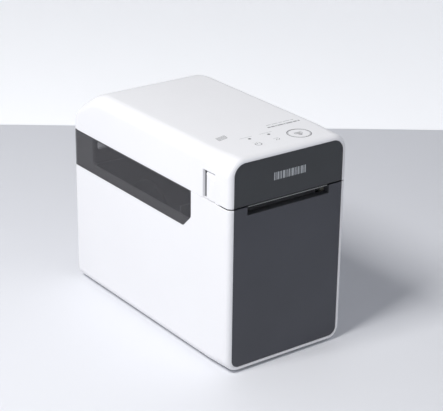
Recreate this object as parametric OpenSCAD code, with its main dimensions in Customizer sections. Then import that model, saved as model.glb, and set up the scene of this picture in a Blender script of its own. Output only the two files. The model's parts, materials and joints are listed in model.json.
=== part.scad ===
// Desktop thermal label printer: a white case with a hinged lid, a dark
// two-piece front, smoked side windows, a print mechanism behind the exit slot
// and a drop-in roll compartment with centring roll guides.
// Frame: X across, Y from front (-) to rear (+), Z up, origin on the surface
// under the middle of the printer. All lengths are millimetres.

/* [Overall size] */
// Width over the side walls
body_w = 110; // [108:1:114]
// Depth from the front panels to the rear wall
body_d = 215; // [213:1:221]
// Height from the surface to the top of the lid
total_h = 172; // [170:1:178]
// Height of the line between the lower case and the lid
seam_z = 134.2; // [134:0.2:136]
// Gap between the lower case and the lid
seam_gap = 0.6; // [0.5:0.1:0.8]

/* [Case] */
// Wall thickness of the case and the lid
wall = 2.5; // [2.2:0.1:2.8]
// Visible height of the rubber feet
foot_h = 1.5; // [1.5:0.1:1.7]
// Radius of the long bottom edges
bottom_r = 8; // [6:1:9]
// Radius of the long top edges
top_r = 9; // [7:1:10]
// Radius of the vertical corners
corner_r = 4; // [3:0.5:4]
// Depth over which the rear of the lid slopes down
slope_d = 32.5; // [28:0.5:34]
// Height lost over the slope
slope_h = 20; // [17:0.5:21]

/* [Front and windows] */
// White margin left and right of the front panels
panel_margin = 4.5; // [4.5:0.1:5]
// Thickness of the front panels
panel_t = 2.5; // [2.2:0.1:2.6]
// Half of the width of the label exit
exit_hw = 38.3; // [38:0.1:40]
// Height of the label exit
exit_h = 7.1; // [6.5:0.1:7.5]
// Height of the side windows
window_h = 31; // [29:1:32]
// Distance of the windows' front edge from the front
window_front = 47.8; // [46:0.1:50]

/* [Print mechanism] */
// Radius of the platen roller
platen_r = 7.5; // [7.3:0.1:7.5]
// Half length of the platen rubber
platen_hl = 33; // [30:0.5:33]
// Module of the drive gears
gear_m = 0.75; // [0.75:0.01:0.75]
// Radius of the drive motor
motor_r = 17.5; // [15:0.5:17.5]

/* [Media] */
// Travel of each roll guide
guide_travel = 21; // [15:1:21]
// Radius of the roll that fits the compartment
roll_r = 63.5; // [55:0.5:64]

/* [Controls] */
// Radius of the feed button
feed_r = 8.7; // [8:0.1:9]
// Radius of the power button
power_r = 5; // [4:0.1:5.5]

/* [Hidden] */
$fn = 48;
hw = body_w/2;            // half width
yf = -body_d/2;           // front face
yr = body_d/2;            // rear face
z0 = foot_h;              // underside of the case
zb = seam_z - seam_gap/2; // top rim of the lower case
zl = seam_z + seam_gap/2; // lower rim of the lid
zt = total_h;
xi = hw - wall;           // inner half width
yfi = yf + 5;             // inner face of the front wall
yri = yr - wall;          // inner face of the rear wall
pw = hw - panel_margin;   // half width of the front panels
pz0 = z0 + 3.4;           // lower edge of the front panel
pz1 = zt - 4.0;           // upper edge of the front panel
hy = yr - 3.7;            // hinge axis
hz = zl + 3.5;
rp1 = seam_z - 11.7;       // upper edge of the rear panel
wy0 = yf + window_front;  // window front edge
wz0 = seam_z - window_h - 0.1;
bx = hw - 4.5;            // inner face of the wall behind the windows
py = yf + 16.5; pz = seam_z - 10.8;   // platen axis
iy = py + 22*gear_m*cos(60); iz = pz - 22*gear_m*sin(60); // idler axis, 26 and 18 teeth
my = iy; mz = iz - 24*gear_m;         // motor axis, 32 and 16 teeth
cx0 = 40.5; cx1 = 42;                 // chassis side plates
ly = yf + 23; lz = zl + 2.9;          // latch axis
ky = ly + 3.5; kz = lz - 13;          // catch stud axis
ay = yf + 39.5; az = zl + 10.9;       // print head axis
ry = 28; rz = 81;                     // roll axis
gp_m = 1; gp_n = 18; gp_r = gp_m*gp_n/2; // centring pinion
fy = yf + 19.4; fx = 23.3;            // feed button
oy = yf + 17.9; ox = -15.8;           // power button

// ---- helpers ----
module yz(x0, x1) translate([x0, 0, 0]) rotate([90, 0, 90]) linear_extrude(x1 - x0) children();
module xz(y0, y1) translate([0, y1, 0]) rotate([90, 0, 0]) linear_extrude(y1 - y0) children();
module xy(a, b) translate([0, 0, a]) linear_extrude(b - a) children();
module box(a, b) translate(a) cube([b[0] - a[0], b[1] - a[1], b[2] - a[2]]);
module sym() { children(); mirror([1, 0, 0]) children(); }
module rod(r, x0, x1, y, z) translate([x0, y, z]) rotate([0, 90, 0]) cylinder(r = r, h = x1 - x0);
module post(r, x, y, a, b) translate([x, y, a]) cylinder(r = r, h = b - a);
// rounded rectangle with true arcs
module rr(x0, y0, x1, y1, r) {
  translate([x0 + r, y0]) square([x1 - x0 - 2*r, y1 - y0]);
  translate([x0, y0 + r]) square([x1 - x0, y1 - y0 - 2*r]);
  for (x = [x0 + r, x1 - r], y = [y0 + r, y1 - r]) translate([x, y]) circle(r);
}
// rectangle rounded only below
module rlow(x0, y0, x1, y1, r) {
  translate([x0 + r, y0]) square([x1 - x0 - 2*r, y1 - y0]);
  translate([x0, y0 + r]) square([x1 - x0, y1 - y0 - r]);
  for (x = [x0 + r, x1 - r]) translate([x, y0 + r]) circle(r);
}
// rectangle rounded only above
module rtop(x0, y0, x1, y1, r) {
  translate([x0 + r, y0]) square([x1 - x0 - 2*r, y1 - y0]);
  translate([x0, y0]) square([x1 - x0, y1 - y0 - r]);
  for (x = [x0 + r, x1 - r]) translate([x, y1 - r]) circle(r);
}
function arc(cx, cy, r, a0, a1, n) = [for (i = [0:n]) let (a = a0 + (a1 - a0)*i/n) [cx + r*cos(a), cy + r*sin(a)]];
function inv(a) = tan(a)*180/PI - a;
function half(N, m, bl, r) = let (p = m*N/2, b = p*cos(20))
  90/N - bl/2/p*180/PI + inv(20) - inv(acos(min(1, b/r)));
// outline of an involute spur gear, one tooth centred on angle ph
function gear(N, m, ph, bl) = let (p = m*N/2, b = p*cos(20), ra = p + m, rf = p - 1.25*m, r0 = max(b, rf + 0.01))
  [for (k = [0:N - 1]) let (c = ph + 360*k/N) each concat(
    [let (h = half(N, m, bl, r0)) [rf*cos(c - h), rf*sin(c - h)]],
    [for (i = [0:4]) let (r = r0 + (ra - r0)*i/4, h = half(N, m, bl, r)) [r*cos(c - h), r*sin(c - h)]],
    [for (i = [4:-1:0]) let (r = r0 + (ra - r0)*i/4, h = half(N, m, bl, r)) [r*cos(c + h), r*sin(c + h)]],
    [let (h = half(N, m, bl, r0)) [rf*cos(c + h), rf*sin(c + h)]])];
// tube swept round a coil standing on Z
function coil_pt(r, h, n, t) = [r*cos(360*n*t), r*sin(360*n*t), h*t];
module coil(r, w, h, n) {
  s = round(n*16); q = 8;
  pts = [for (i = [0:s]) let (t = i/s, c = coil_pt(r, h, n, t), a = 360*n*t)
    for (j = [0:q - 1]) let (b = 360*j/q) [c[0] + w*cos(b)*cos(a), c[1] + w*cos(b)*sin(a), c[2] + w*sin(b)]];
  faces = concat([[for (j = [0:q - 1]) j]], [[for (j = [q - 1:-1:0]) s*q + j]],
    [for (i = [0:s - 1]) for (j = [0:q - 1]) [i*q + j, (i + 1)*q + j, (i + 1)*q + (j + 1)%q, i*q + (j + 1)%q]]);
  polyhedron(points = pts, faces = faces);
}
// pan-head screw, head up, tip down at z
module screw(x, y, z, r = 1.5, l = 6, hr = 2.8) {
  translate([x, y, z]) difference() {
    union() { cylinder(r = r, h = l); translate([0, 0, l]) cylinder(r = hr, h = 1.6); }
    for (a = [0, 90]) rotate([0, 0, a]) translate([-1.7, -0.35, l + 0.8]) cube([3.4, 0.7, 1]);
  }
}

// ---- lid side view ----
slope_a = atan2(slope_h, slope_d);
r1 = 40; r2 = 14;
t1 = r1*tan(slope_a/2); t2 = r2*tan((90 - slope_a)/2);
function lid_rear(o) = concat(
  arc(yr - r2, zt - slope_h - t2, r2 - o, 0, 90 - slope_a, 8),
  arc(yr - slope_d - t1, zt - r1, r1 - o, 90 - slope_a, 90, 8));

// ================= lower case =================
module case_outer(z1) intersection() {
  xz(yf, yr) rlow(-hw, z0, hw, z1, bottom_r);
  xy(z0, z1) rr(-hw, yf, hw, yr, corner_r);
  yz(-hw, hw) rlow(yf, z0, yr, z1, 3.5);
}
module window_outline(g) polygon([[wy0 - g, zb + 5], [wy0 - g, wz0 + 10 - g*0.4], [wy0 + 10 - g*0.4, wz0 - g], [yr + 5, wz0 - g], [yr + 5, zb + 5]]);
module lower_case() color("white") difference() {
  union() {
    difference() {
      case_outer(zb);
      // inner space
      intersection() {
        xz(yfi, yri) rlow(-xi, z0 + wall, xi, zb + 5, bottom_r - wall);
        xy(z0, zb + 5) rr(-xi, yfi, xi, yri, 2);
      }
      // opening for the base plate
      box([-46.2, yf + 9.3, z0 - 1], [46.2, yr - 9.3, z0 + wall + 1]);
    }
    // walls behind the windows
    sym() box([bx, wy0 - 3, wz0 - 3], [xi + 0.5, yri + 0.2, zb]);
    // hinge knuckles
    sym() yz(38.4, 45.6) {
      translate([hy, hz]) circle(3.4);
      translate([hy - 3.4, zb - 8]) square([yr - 0.3 - hy + 3.4, hz - zb + 8]);
    }
    // ledge that carries the base plate
    difference() {
      box([-49, yf + 7, z0 + 2], [49, yr - 7, z0 + 4]);
      box([-44, yf + 12, z0], [44, yr - 12, z0 + 5]);
    }
  }
  // recess for the front panel
  xz(yf - 1, yf + panel_t + 0.2) rlow(-pw - 0.2, pz0 - 0.2, pw + 0.2, zb + 5, 6.7);
  // front opening: the panel lies on the lip round it
  xz(yf - 1, yfi + 1) rlow(-pw + 4, pz0 + 4, pw - 4, zb + 5, 3);
  // recesses for the windows and the sight openings behind them
  sym() {
    yz(hw - 2.1, hw + 1) window_outline(0.15);
    yz(bx - 1, hw) rr(wy0 + 8, wz0 + 5.5, yr - 25, zb - 3, 5);
  }
  // hinge bores
  sym() rod(1.5, 30, 50, hy, hz);
  // opening for the rear panel
  xz(yri - 1, yr + 1) rr(-46.2, 7.3, 46.2, rp1, 2);
  // screw holes of the base plate and of the front panel
  for (x = [-45, 45], y = [yf + 10.5, yr - 10.5]) post(1.4, x, y, z0, z0 + 5);
}
module base_plate() color("silver") {
  difference() {
    union() {
      box([-46, yf + 9.5, z0], [46, yr - 9.5, z0 + 2]);
      post(2, 0, ry, z0 + 2, 10.8);
      for (x = [-41, 41], y = [54, 84]) post(3, x, y, z0 + 2, 7.5);
    }
    for (x = [-45, 45], y = [yf + 10.5, yr - 10.5]) post(1.4, x, y, z0 - 1, z0 + 5);
    for (x = [-38, 38], y = [-88, 88]) post(2, x, y, z0 - 1, z0 + 5);
    for (x = [-41, 41], y = [54, 84]) post(1, x, y, z0 + 0.8, 9);
    for (x = [-30, 30], y = [-90, -70]) post(1.3, x, y, z0 - 1, z0 + 5);
    // ventilation slots
    for (i = [0:5]) box([-22, -40 + 6*i, z0 - 1], [22, -37.5 + 6*i, z0 + 5]);
    // seat of the rating plate
    box([-24, 38, z0 - 1], [24, 74, z0 + 0.3]);
  }
}
module rubber_feet() color("dimgray") for (x = [-38, 38], y = [-88, 88]) {
  post(7, x, y, 0, z0); post(2, x, y, z0, z0 + 2);
}
module rating_plate() color("gainsboro") box([-23.8, 38.2, z0], [23.8, 73.8, z0 + 0.3]);
module base_screws() color("gray") for (x = [-45, 45], y = [yf + 10.5, yr - 10.5])
  difference() {
    union() { post(1.4, x, y, z0 - 0.2, z0 + 4.5); post(2.6, x, y, z0 - 0.9, z0); }
    for (a = [0, 90]) translate([x, y, z0 - 1]) rotate([0, 0, a]) translate([-1.6, -0.35, 0]) cube([3.2, 0.7, 0.6]);
  }
module front_panel_lower() color([0.2, 0.22, 0.25]) difference() {
  xz(yf, yf + panel_t) rlow(-pw, pz0, pw, zb - 0.2, 6.5);
  box([-exit_hw, yf - 1, zb - exit_h], [exit_hw, yf + panel_t + 1, zb + 1]);
}
module window_pane(s) mirror([s, 0, 0]) color([0.35, 0.35, 0.37, 0.6]) intersection() {
  case_outer(zb);
  yz(hw - 2, hw) window_outline(0);
}
module window_left() window_pane(1);
module window_right() window_pane(0);

// panel in the rear wall, with the slot for fan-fold media and the sockets' openings
module rear_panel() color("white") difference() {
  union() {
    xz(yri, yr) rr(-46.2, 7.3, 46.2, rp1, 2);
    xz(yri - 1.2, yri) rr(-48.4, 26, 48.4, rp1 + 2.2, 2);
  }
  xz(yri - 2, yr + 1) rr(-35, rp1 - 10.5, 35, rp1 - 2.5, 2);
  xz(yri - 2, yr + 1) { rr(-41.3, 8.9, -30.7, 20.3, 1); rr(-22.9, 8.9, -14.1, 13.7, 0.8); rr(-1.3, 8.9, 12.3, 22.3, 0.6); }
}

// ---- electronics in the base ----
module main_board() color("darkgreen") difference() {
  box([-45, 50, 7.5], [45, yri - 0.4, 9.1]);
  for (x = [-41, 41], y = [54, 84]) post(1.3, x, y, 7, 10);
}
module board_components() color("black") {
  box([-20, 56, 9.1], [-6, 70, 10.7]);
  box([0, 58, 9.1], [8, 66, 10.4]);
  box([14, 56, 9.1], [26, 62, 10.6]);
  for (x = [-33, 22, 33]) post(3.5, x, 74, 9.1, 18);
  box([28, 54, 9.1], [37, 64, 15]);
}
module board_screws() color("silver") for (x = [-41, 41], y = [54, 84]) screw(x, y, 4.7, 1, 4.4, 2.4);
module dc_jack() color("black") difference() {
  box([-41, 91, 9.1], [-31, yr - 0.6, 20]);
  translate([-36, yr + 1, 14.5]) rotate([90, 0, 0]) cylinder(r = 3.2, h = 10);
}
module usb_socket() color("silver") difference() {
  box([-22.5, 96.5, 9.1], [-14.5, yr - 0.6, 13.3]);
  box([-21.9, 98, 9.7], [-15.1, yr + 1, 12.7]);
}
module serial_socket() color("dimgray") difference() {
  box([-1, 90, 9.1], [12, yr - 0.6, 22]);
  box([0.7, 93, 10.8], [10.3, yr + 1, 18.3]);
  box([3.2, 93, 18], [7.8, yr + 1, 20.4]);
}

// ---- print mechanism in the base ----
module chassis() color("lightgray") difference() {
  union() {
    sym() yz(cx0, cx1) difference() {
      translate([yf + 12.4, z0 + 2]) square([33.1, seam_z - 3.8 - z0 - 2]);
      translate([yf + 6, z0 + 5]) square([10, seam_z - 3.8 - z0 - 5]);
      translate([yf + 14, 16]) square([24, 46]);
    }
    box([-cx1, yf + 12.4, z0 + 2], [cx1, yf + 45.5, z0 + 3.5]);
    box([-cx1, yf + 6, 64], [cx1, yf + 12, 65.5]);
  }
  sym() rod(5, 38, 44, py, pz);
  rod(2, 38, 44, iy, iz);
  rod(8, 38, 44, my, mz);
  for (s = [-1, 1]) rod(1.5, 38, 44, my + 14.14*s, mz + 14.14*s);
  for (x = [-30, 30], y = [-90, -70]) post(1.5, x, y, z0 + 1, z0 + 5);
}
module chassis_screws() color("silver") for (x = [-30, 30], y = [-90, -70]) screw(x, y, z0 + 0.2, 1.3, 3.3, 2.6);
module platen_bushes() color("white") sym() difference() {
  union() { rod(5, cx0, cx1, py, pz); rod(6.2, cx1, cx1 + 0.6, py, pz); }
  rod(3.05, 38, 44, py, pz);
}
module idler_axle() color("silver") { rod(2, cx0, 46.6, iy, iz); }
module drive_motor() color("dimgray") difference() {
  union() {
    rod(motor_r, 15, cx0 - 1.2, my, mz);
    rod(7.5, cx0 - 1.2, cx1, my, mz);
    yz(cx0 - 1.2, cx0) {
      translate([my, mz]) circle(motor_r - 2);
      for (s = [-1, 1]) translate([my + 14.14*s, mz + 14.14*s]) circle(3.4);
      translate([my, mz]) rotate(45) square([36, 7], center = true);
    }
  }
  rod(2.55, 24, 43, my, mz);
  for (s = [-1, 1]) rod(1.5, 38, 44, my + 14.14*s, mz + 14.14*s);
}
module motor_screws() color("silver") for (s = [-1, 1]) {
  rod(1.5, 37.5, 42, my + 14.14*s, mz + 14.14*s);
  rod(2.6, 42, 42.5, my + 14.14*s, mz + 14.14*s);
}
module catch_studs() color("silver") sym() rod(2, 46.9, xi, ky, kz);
module media_guide() color("gray") difference() {
  yz(-40.2, 40.2) polygon([[-40.6, 112], [-40.6, 115.5], [-79.4, 130.2], [-81.4, 130.2], [-81.4, 128.7], [-79.6, 128.7],
    [-62, 122.1], [-62, 114], [-60, 114], [-60, 121.3], [-42.4, 114.7], [-42.4, 112]]);
  box([-7, -69, 118], [7, -60.6, 128]);
}
module media_sensor() color("black") {
  box([-6.7, -68.7, 118.5], [6.7, -60.9, 123.2]);
  box([-2, -66.8, 123.2], [2, -62.8, 123.8]);
}
module roll_bay() color("gainsboro") difference() {
  union() {
    yz(-50.2, 50.2) difference() {
      union() {
        translate([ry, rz]) circle(68.5, $fn = 96);
        translate([ry - 68.5, rz]) square([137, 33]);
      }
      translate([ry, rz]) circle(66.5, $fn = 96);
      translate([ry - 66.5, rz]) square([133, 80]);
      translate([ry + 60, rz + 22]) square([20, 80]);
      translate([-100, rz + 33]) square([300, 80]);
    }
    sym() for (y = [-4, 46]) post(3, 46.4, y, z0 + 4, y < 0 ? 20.5 : 16);
  }
  // slots for the roll guides
  sym() box([8.6, ry - 4.4, 8], [35.2, ry + 4.4, 20]);
}
module hinge_pins() color("silver") sym() rod(1.5, 33, 50.3, hy, hz);
module cover_switch() color("black") {
  box([45.3, -56, 121], [bx, -44, 131]);
  post(1, 47.6, -50, 131, 131.4);
}

// ================= lid =================
module lid_outer() intersection() {
  xz(yf, yr) rtop(-hw, zl - 0.2, hw, zt, top_r);
  xy(zl - 0.2, zt) rr(-hw, yf, hw, yr, corner_r);
  yz(-hw, hw) union() {
    polygon(concat(lid_rear(0), arc(yf + 3, zt - 3, 3, 90, 180, 6),
      [[yf, zl], [hy - 3.7*cos(70), zl]], arc(hy, hz, 3.7, 251, 360, 10)));
  }
}
module lid_shell() color("white") difference() {
  union() {
    difference() {
      lid_outer();
      intersection() {
        xz(yfi, yri) rtop(-xi, zl - 5, xi, zt - wall, top_r - wall);
        yz(-xi, xi) polygon(concat(lid_rear(wall), [[yfi, zt - wall], [yfi, zl - 5], [yri, zl - 5]]));
      }
    }
    // lever pockets, seen from inside
    sym() box([hw - 5.6, yf + 15, zl], [hw - 1, yf + 36, zl + 24]);
    // hinge barrels
    sym() for (x = [[30, 38], [46, xi + 1]]) rod(3.6, x[0], x[1], hy, hz);
    // screw posts of the liner and posts of the control board
    sym() { post(3.5, 43, yf + 10, zl + 17, zt - 1); post(3.5, 43, 60, zl + 23.1, zt - 1); }
    for (x = [-27, 33]) post(2.2, x, yf + 39, zl + 26.5, zt - 1);
    for (x = [-27, 33]) post(2.2, x, yf + 10.5, zl + 26.5, zt - 1);
  }
  // recess for the upper front panel
  xz(yf - 1, yf + panel_t + 0.2) rtop(-pw - 0.2, zl - 5, pw + 0.2, pz1 + 0.2, 9.7);
  // lever pockets
  sym() box([hw - 3, yf + 17.3, zl - 5], [hw + 1, yf + 33.7, zl + 22.2]);
  // latch shaft bores
  sym() rod(2.55, 40, 54, ly, lz);
  // hinge notches and bores
  sym() box([38, hy - 4.2, zl - 5], [46, yr + 1, hz + 4]);
  sym() rod(1.55, 29, 51, hy, hz);
  // buttons and light pipes
  post(feed_r + 0.3, fx, fy, zt - 5, zt + 1);
  post(power_r + 0.3, ox, oy, zt - 5, zt + 1);
  for (x = [-14.6, 3.2]) post(1.25, x, yf + 30.3, zt - 5, zt + 1);
  sym() { post(1.2, 43, yf + 10, zl + 15, zl + 25); post(1.2, 43, 60, zl + 20, zl + 31); }
}
module front_panel_upper() color([0.2, 0.22, 0.25]) difference() {
  xz(yf, yf + panel_t) rtop(-pw, zl + 0.1, pw, pz1, 9.5);
  for (x = [-30, 30]) translate([x, yf + panel_t - 1, zl + 18]) rotate([-90, 0, 0]) cylinder(r = 2, h = 3);
}
module lid_liner() color("gray") difference() {
  union() {
    yz(-48.8, 48.8) polygon([[yf + 6, zl + 15], [yf + 44, zl + 15], [yf + 52, zl + 21], [76, zl + 21], [96, zl + 10], [98, zl + 10],
      [98, zl + 11.2], [76.6, zl + 23], [yf + 51.2, zl + 23], [yf + 43.2, zl + 17], [yf + 6, zl + 17]]);
    // lugs of the print head shaft
    sym() yz(38, 41.4) difference() {
      union() { translate([ay, az]) circle(4.4); translate([ay - 4.4, az]) square([8.8, zl + 15.5 - az]); }
      translate([ay, az]) circle(2);
    }
    // cups over the head springs
    for (x = [-22, 22]) post(4.7, x, py, zl + 16, zl + 19.6);
    // peg over the cover switch
    post(1.8, 46.4, -50, 131.8, zl + 22);
  }
  sym() { post(1.5, 43, yf + 10, zl + 14, zl + 18); post(1.5, 43, 60, zl + 20, zl + 24); }
  for (x = [-22, 22]) post(3.5, x, py, zl + 14, zl + 18.4);
}
module liner_screws() color("silver") sym() for (p = [[yf + 10, zl + 15], [60, zl + 21]])
  translate([43, p[0], p[1]]) mirror([0, 0, 1]) difference() {
    union() { translate([0, 0, -7]) cylinder(r = 1.2, h = 7); cylinder(r = 2.6, h = 1.4); }
    for (a = [0, 90]) rotate([0, 0, a]) translate([-1.6, -0.35, 0.7]) cube([3.2, 0.7, 1]);
  }
module panel_board() color("darkgreen") box([-30, yf + 7.5, zl + 24.9], [36, yf + 42, zl + 26.5]);
module panel_components() color("black") {
  for (p = [[fx, fy], [ox, oy]]) { box([p[0] - 3, p[1] - 3, zl + 26.5], [p[0] + 3, p[1] + 3, zl + 29.3]); post(1.7, p[0], p[1], zl + 29.3, zt - 6.9); }
  for (x = [-14.6, 3.2]) box([x - 1, yf + 29.5, zl + 26.5], [x + 1, yf + 31.1, zl + 27.3]);
  box([-6, yf + 36, zl + 26.5], [12, yf + 41, zl + 30]);
}
module light_pipes() color("palegreen") for (x = [-14.6, 3.2]) post(1.25, x, yf + 30.3, zl + 27.5, zt);
module tear_bar() color("silver") {
  xy(zb - 1.1, zb - 0.3) polygon(concat([[37.6, yf + 6], [-37.6, yf + 6]],
    [for (i = [0:75]) [-37.6 + i*75.2/75, yf + 0.7 + (i%2)*0.8]]));
  box([-37.6, yf + 5, zb - 0.3], [37.6, yf + 6, zl + 11]);
}
module head_pivot_shaft() color("silver") rod(2, -43, 43, ay, az);
module head_springs() color("silver") for (x = [-22, 22]) translate([x, py, zl + 7.8]) coil(2.6, 0.35, 8.6, 5);
module latch_spring() color("silver") {
  for (i = [0:5]) translate([39 + i*1.05, ly, lz]) rotate([0, 90, 0]) rotate_extrude() translate([3.5, 0]) circle(0.6, $fn = 16);
  translate([44.25, ly + 3.5, lz]) cylinder(r = 0.6, h = 12, $fn = 16);
}

// ---- latch ----
module lever() difference() {
  yz(hw - 2.6, hw - 0.2) polygon([[yf + 18.4, zl + 1.1], [yf + 25, zl + 0.7], [yf + 28.8, zl + 2], [yf + 28.8, zl + 21.1], [yf + 17.7, zl + 21.1], [yf + 17.7, zl + 1.8]]);
  // blind bore for the shaft's end
  rod(2.5, hw - 3, hw - 1.4, ly, lz);
}
module latch_lever_left() color("white") mirror([1, 0, 0]) latch_lever_right();
module latch_lever_right() color("white") difference() {
  lever();
  translate([hw - 0.2, 0, zl + 15.5]) rotate([0, -14, 0]) box([0, yf + 10, 0], [5, yf + 40, 12]);
}
module latch_shaft() color("silver") rod(2.5, -hw + 1.5, hw - 1.5, ly, lz);
module latch_hooks() color("silver") sym() yz(46.9, 49.1) difference() {
  polygon([[ly - 4.4, lz + 4.2], [ly + 4.2, lz + 4.2], [ly + 4.2, lz - 3.4], [ky - 3.8, kz + 4], [ky - 3.8, kz - 2.4],
    [ky - 2.3, kz - 2.4], [ky - 2.3, kz - 3.4], [ky - 4.6, kz - 5.8], [ky - 7.6, kz - 5.8], [ly - 4.4, lz - 6]]);
  translate([ly, lz]) circle(2.5);
}

// ---- print head ----
module thermal_head() color("ivory") {
  box([-33, yf + 8.5, seam_z - 3], [33, yf + 19.7, zl - 2.1]);
}
module heat_sink() color("silver") difference() {
  box([-35, yf + 8, zl - 2.1], [35, yf + 19.8, zl + 5.9]);
  for (y = [yf + 10.5, yf + 15]) box([-36, y, zl + 1], [36, y + 2.2, zl + 6.5]);
}
module head_bracket() color("gray") difference() {
  union() {
    box([-36, yf + 8, zl + 5.9], [36, ay + 3, zl + 7.4]);
    sym() yz(34.5, 36) { translate([ay, az]) circle(3.8); translate([ay - 3.8, zl + 6]) square([6.8, az - zl - 6]); }
  }
  sym() rod(2.05, 30, 40, ay, az);
  for (x = [-22, 22]) post(1.2, x, py, zl + 5, zl + 8);
  box([-20, yf + 24, zl + 5], [20, ay - 5, zl + 8]);
}

// ---- rotating parts ----
module platen_roller() color("dimgray") difference() {
  rod(platen_r, -platen_hl, platen_hl, py, pz);
  rod(3.5, -40, 40, py, pz);
}
module platen_shaft() color("silver") {
  rod(3, -43.4, 46.6, py, pz);
  rod(3.5, -platen_hl, platen_hl, py, pz);
}
module platen_gear() color("white") yz(44.7, 46.5) difference() {
  translate([py, pz]) polygon(gear(26, gear_m, -60, 0.12));
  translate([py, pz]) circle(3);
}
module idler_gear() color("white") difference() {
  union() {
    yz(42.7, 44.4) translate([iy, iz]) polygon(gear(32, gear_m, -90, 0.12));
    yz(44.4, 46.4) translate([iy, iz]) polygon(gear(18, gear_m, 130, 0.12));
  }
  rod(2.05, 40, 50, iy, iz);
}
module motor_shaft() color("silver") rod(2.5, 25, 44.9, my, mz);
module motor_pinion() color("goldenrod") yz(42.7, 44.6) difference() {
  translate([my, mz]) polygon(gear(16, gear_m, 101.25, 0.12));
  translate([my, mz]) circle(2.5);
}

// ---- roll guides and their centring drive ----
// rack outline along X, teeth towards +Y, pitch line at y = 0
function rack(k0, k1, x0, x1) = concat([[x1, -5], [x0, -5], [x0, -1.25*gp_m]],
  [for (k = [k0:k1]) let (c = k*PI*gp_m, h = PI*gp_m/4 - 0.08) each
    [[c - h - 1.25*gp_m*tan(20), -1.25*gp_m], [c - h + gp_m*tan(20), gp_m], [c + h - gp_m*tan(20), gp_m], [c + h + 1.25*gp_m*tan(20), -1.25*gp_m]]],
  [[x1, -1.25*gp_m]]);
module roll_guide_left() color("dimgray") {
  yz(-34.6, -31.6) {
    translate([ry, rz]) circle(27);
    polygon([[ry - 20, rz - 14], [ry + 20, rz - 14], [ry + 8, 22], [ry - 8, 22]]);
    translate([ry - 4, 10.2]) square([8, 13]);
  }
  rod(6, -31.6, -26.5, ry, rz);
}
module guide_rack_left() color("dimgray") {
  box([-34.6, ry - gp_r - 5, 6.2], [-31.6, ry + 4, 10.2]);
  xy(6.2, 10.2) translate([0, ry - gp_r]) polygon(rack(-9, 3, -34.6, 12));
}
module roll_guide_right() color("dimgray") translate([0, 2*ry, 0]) rotate([0, 0, 180]) roll_guide_left();
module guide_rack_right() color("dimgray") translate([0, 2*ry, 0]) rotate([0, 0, 180]) guide_rack_left();
module guide_pinion() color("white") xy(6.2, 10.2) difference() {
  translate([0, ry]) polygon(gear(gp_n, gp_m, -80, 0.14));
  translate([0, ry]) circle(2.05);
}

// ---- buttons ----
module button(x, y, r) {
  post(r, x, y, zt - 3.5, zt);
  post(r + 1.3, x, y, zt - 4.6, zt - 3.1);
  post(2.6, x, y, zt - 5.6, zt - 4.6);
}
module feed_button() color("white") button(fx, fy, feed_r);
module power_button() color("white") button(ox, oy, power_r);

lower_case();
base_plate();
rubber_feet();
front_panel_lower();
window_left();
window_right();
rating_plate();
base_screws();
main_board();
board_components();
board_screws();
dc_jack();
usb_socket();
serial_socket();
chassis();
chassis_screws();
platen_bushes();
idler_axle();
drive_motor();
motor_screws();
catch_studs();
media_guide();
media_sensor();
roll_bay();
hinge_pins();
cover_switch();
rear_panel();
lid_shell();
front_panel_upper();
lid_liner();
liner_screws();
panel_board();
panel_components();
light_pipes();
tear_bar();
head_pivot_shaft();
head_springs();
latch_spring();
latch_lever_left();
latch_lever_right();
latch_shaft();
latch_hooks();
thermal_head();
heat_sink();
head_bracket();
platen_roller();
platen_shaft();
platen_gear();
idler_gear();
motor_shaft();
motor_pinion();
roll_guide_left();
roll_guide_right();
guide_rack_left();
guide_rack_right();
guide_pinion();
feed_button();
power_button();
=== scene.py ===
# Desktop thermal label printer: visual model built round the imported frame.
import bpy, bmesh, json, math
from mathutils import Vector, Matrix


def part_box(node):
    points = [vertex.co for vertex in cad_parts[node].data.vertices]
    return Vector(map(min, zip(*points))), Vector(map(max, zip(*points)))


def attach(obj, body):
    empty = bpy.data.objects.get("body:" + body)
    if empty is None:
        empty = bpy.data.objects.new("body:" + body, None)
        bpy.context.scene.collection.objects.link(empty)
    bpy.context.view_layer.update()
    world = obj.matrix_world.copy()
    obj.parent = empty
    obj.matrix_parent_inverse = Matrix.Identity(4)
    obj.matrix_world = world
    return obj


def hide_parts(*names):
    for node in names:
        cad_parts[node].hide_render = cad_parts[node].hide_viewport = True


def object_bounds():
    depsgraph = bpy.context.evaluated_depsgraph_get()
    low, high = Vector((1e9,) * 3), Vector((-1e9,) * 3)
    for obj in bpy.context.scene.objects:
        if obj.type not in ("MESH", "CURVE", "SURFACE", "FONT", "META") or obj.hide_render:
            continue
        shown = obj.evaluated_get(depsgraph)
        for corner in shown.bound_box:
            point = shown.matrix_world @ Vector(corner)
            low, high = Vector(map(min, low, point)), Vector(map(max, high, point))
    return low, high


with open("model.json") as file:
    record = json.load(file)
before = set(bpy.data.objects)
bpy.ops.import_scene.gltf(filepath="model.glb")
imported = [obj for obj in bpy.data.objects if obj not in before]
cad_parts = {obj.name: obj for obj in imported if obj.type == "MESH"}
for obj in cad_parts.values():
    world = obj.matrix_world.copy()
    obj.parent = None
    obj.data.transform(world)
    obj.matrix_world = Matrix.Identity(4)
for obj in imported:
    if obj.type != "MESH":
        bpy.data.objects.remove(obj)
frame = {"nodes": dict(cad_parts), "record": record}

cad_lo, cad_hi = [list(v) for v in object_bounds()]
SC = bpy.context.scene
COL = SC.collection
N = frame["nodes"]
MM = 0.001


def B(n):
    lo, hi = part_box(n)
    return [v * 1000 for v in lo], [v * 1000 for v in hi]


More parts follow.
